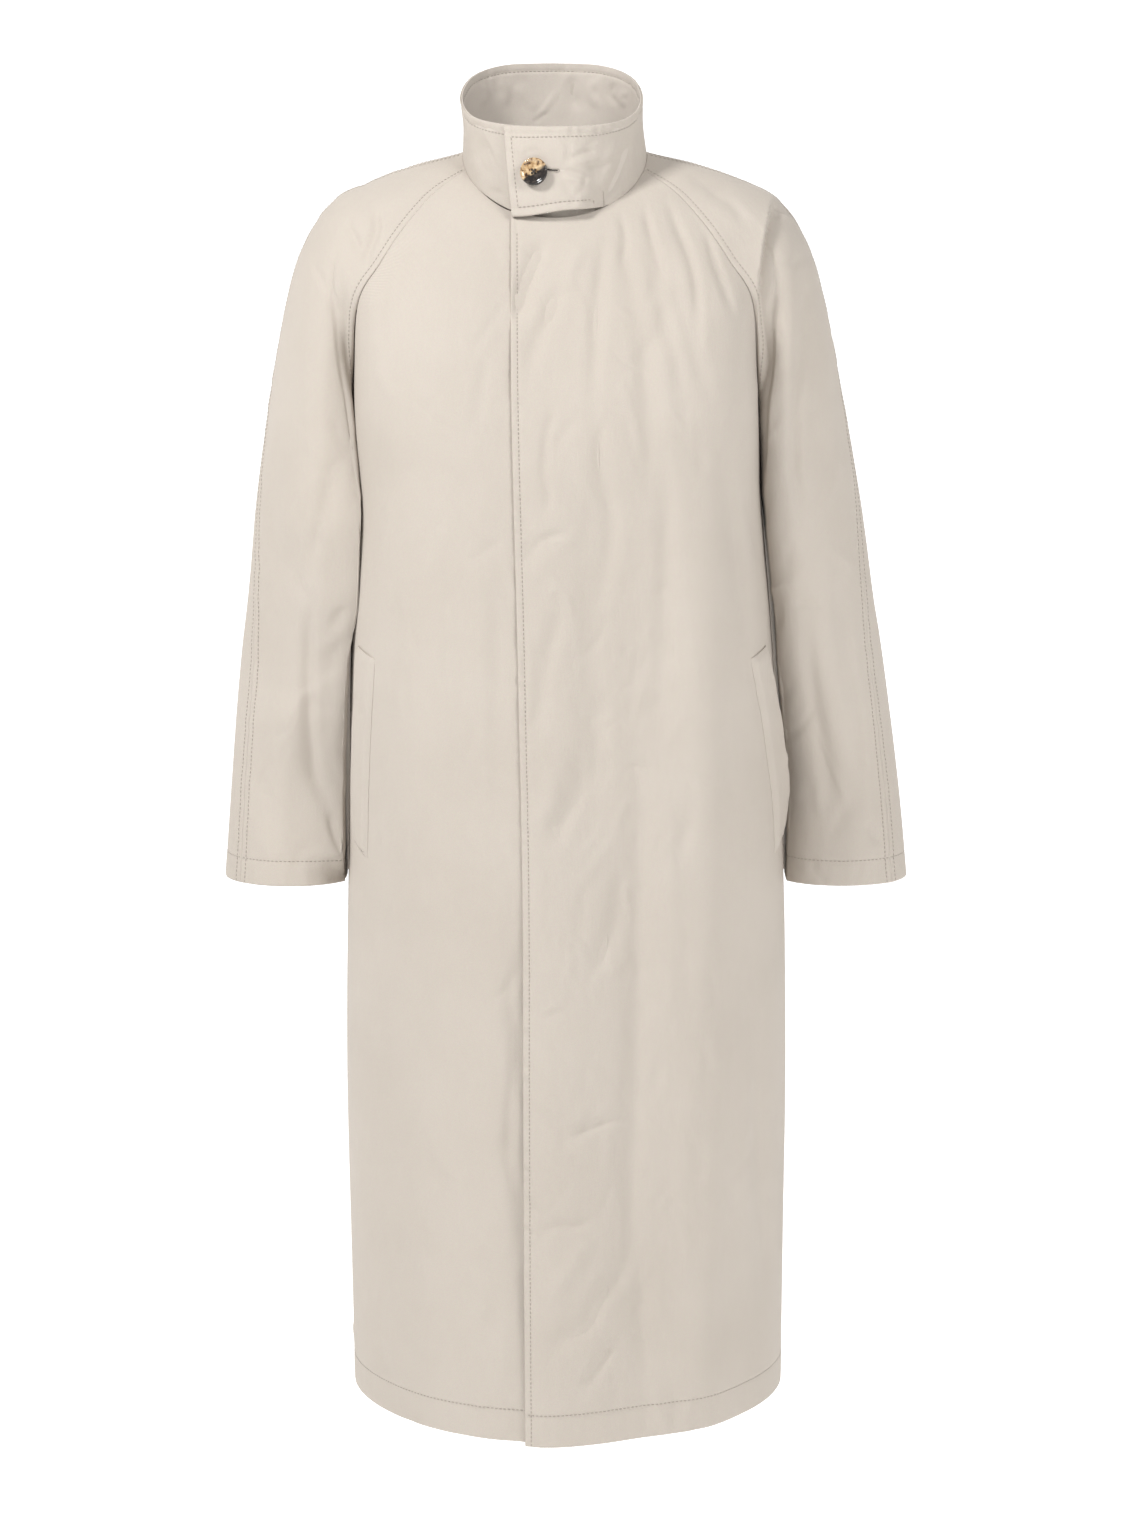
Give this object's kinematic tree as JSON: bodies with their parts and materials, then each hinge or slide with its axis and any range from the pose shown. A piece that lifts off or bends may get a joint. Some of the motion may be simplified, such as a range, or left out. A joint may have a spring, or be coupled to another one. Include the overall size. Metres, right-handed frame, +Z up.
{
  "type": "cotton coat",
  "caption": "Long straight cotton coat with raglan sleeves, a buttoned stand collar, hidden front closing and slanted side pockets.",
  "frame": {"origin": "middle of the neck at the height of the shoulder line, where the wearer's shoulders carry the coat", "axes": "+Z up along the coat, -Y out of its front, +X towards the coat's own left side"},
  "size_m": [0.6345, 0.3371, 1.2462],
  "materials": {
    "cotton": "close twill with a soft sheen",
    "button": "mottled tortoiseshell, polished",
    "thread": "matt sewing thread"
  },
  "bodies": {
    "root": {"front_left": "cotton", "front_right": "cotton", "back": "cotton", "sleeve_left_front": "cotton", "sleeve_left_back": "cotton", "sleeve_right_front": "cotton", "sleeve_right_back": "cotton", "collar_outer": "cotton", "collar_inner": "cotton", "welt_left": "cotton", "welt_right": "cotton", "collar_button": "button", "button_thread": "thread"}
  },
  "joints": []
}
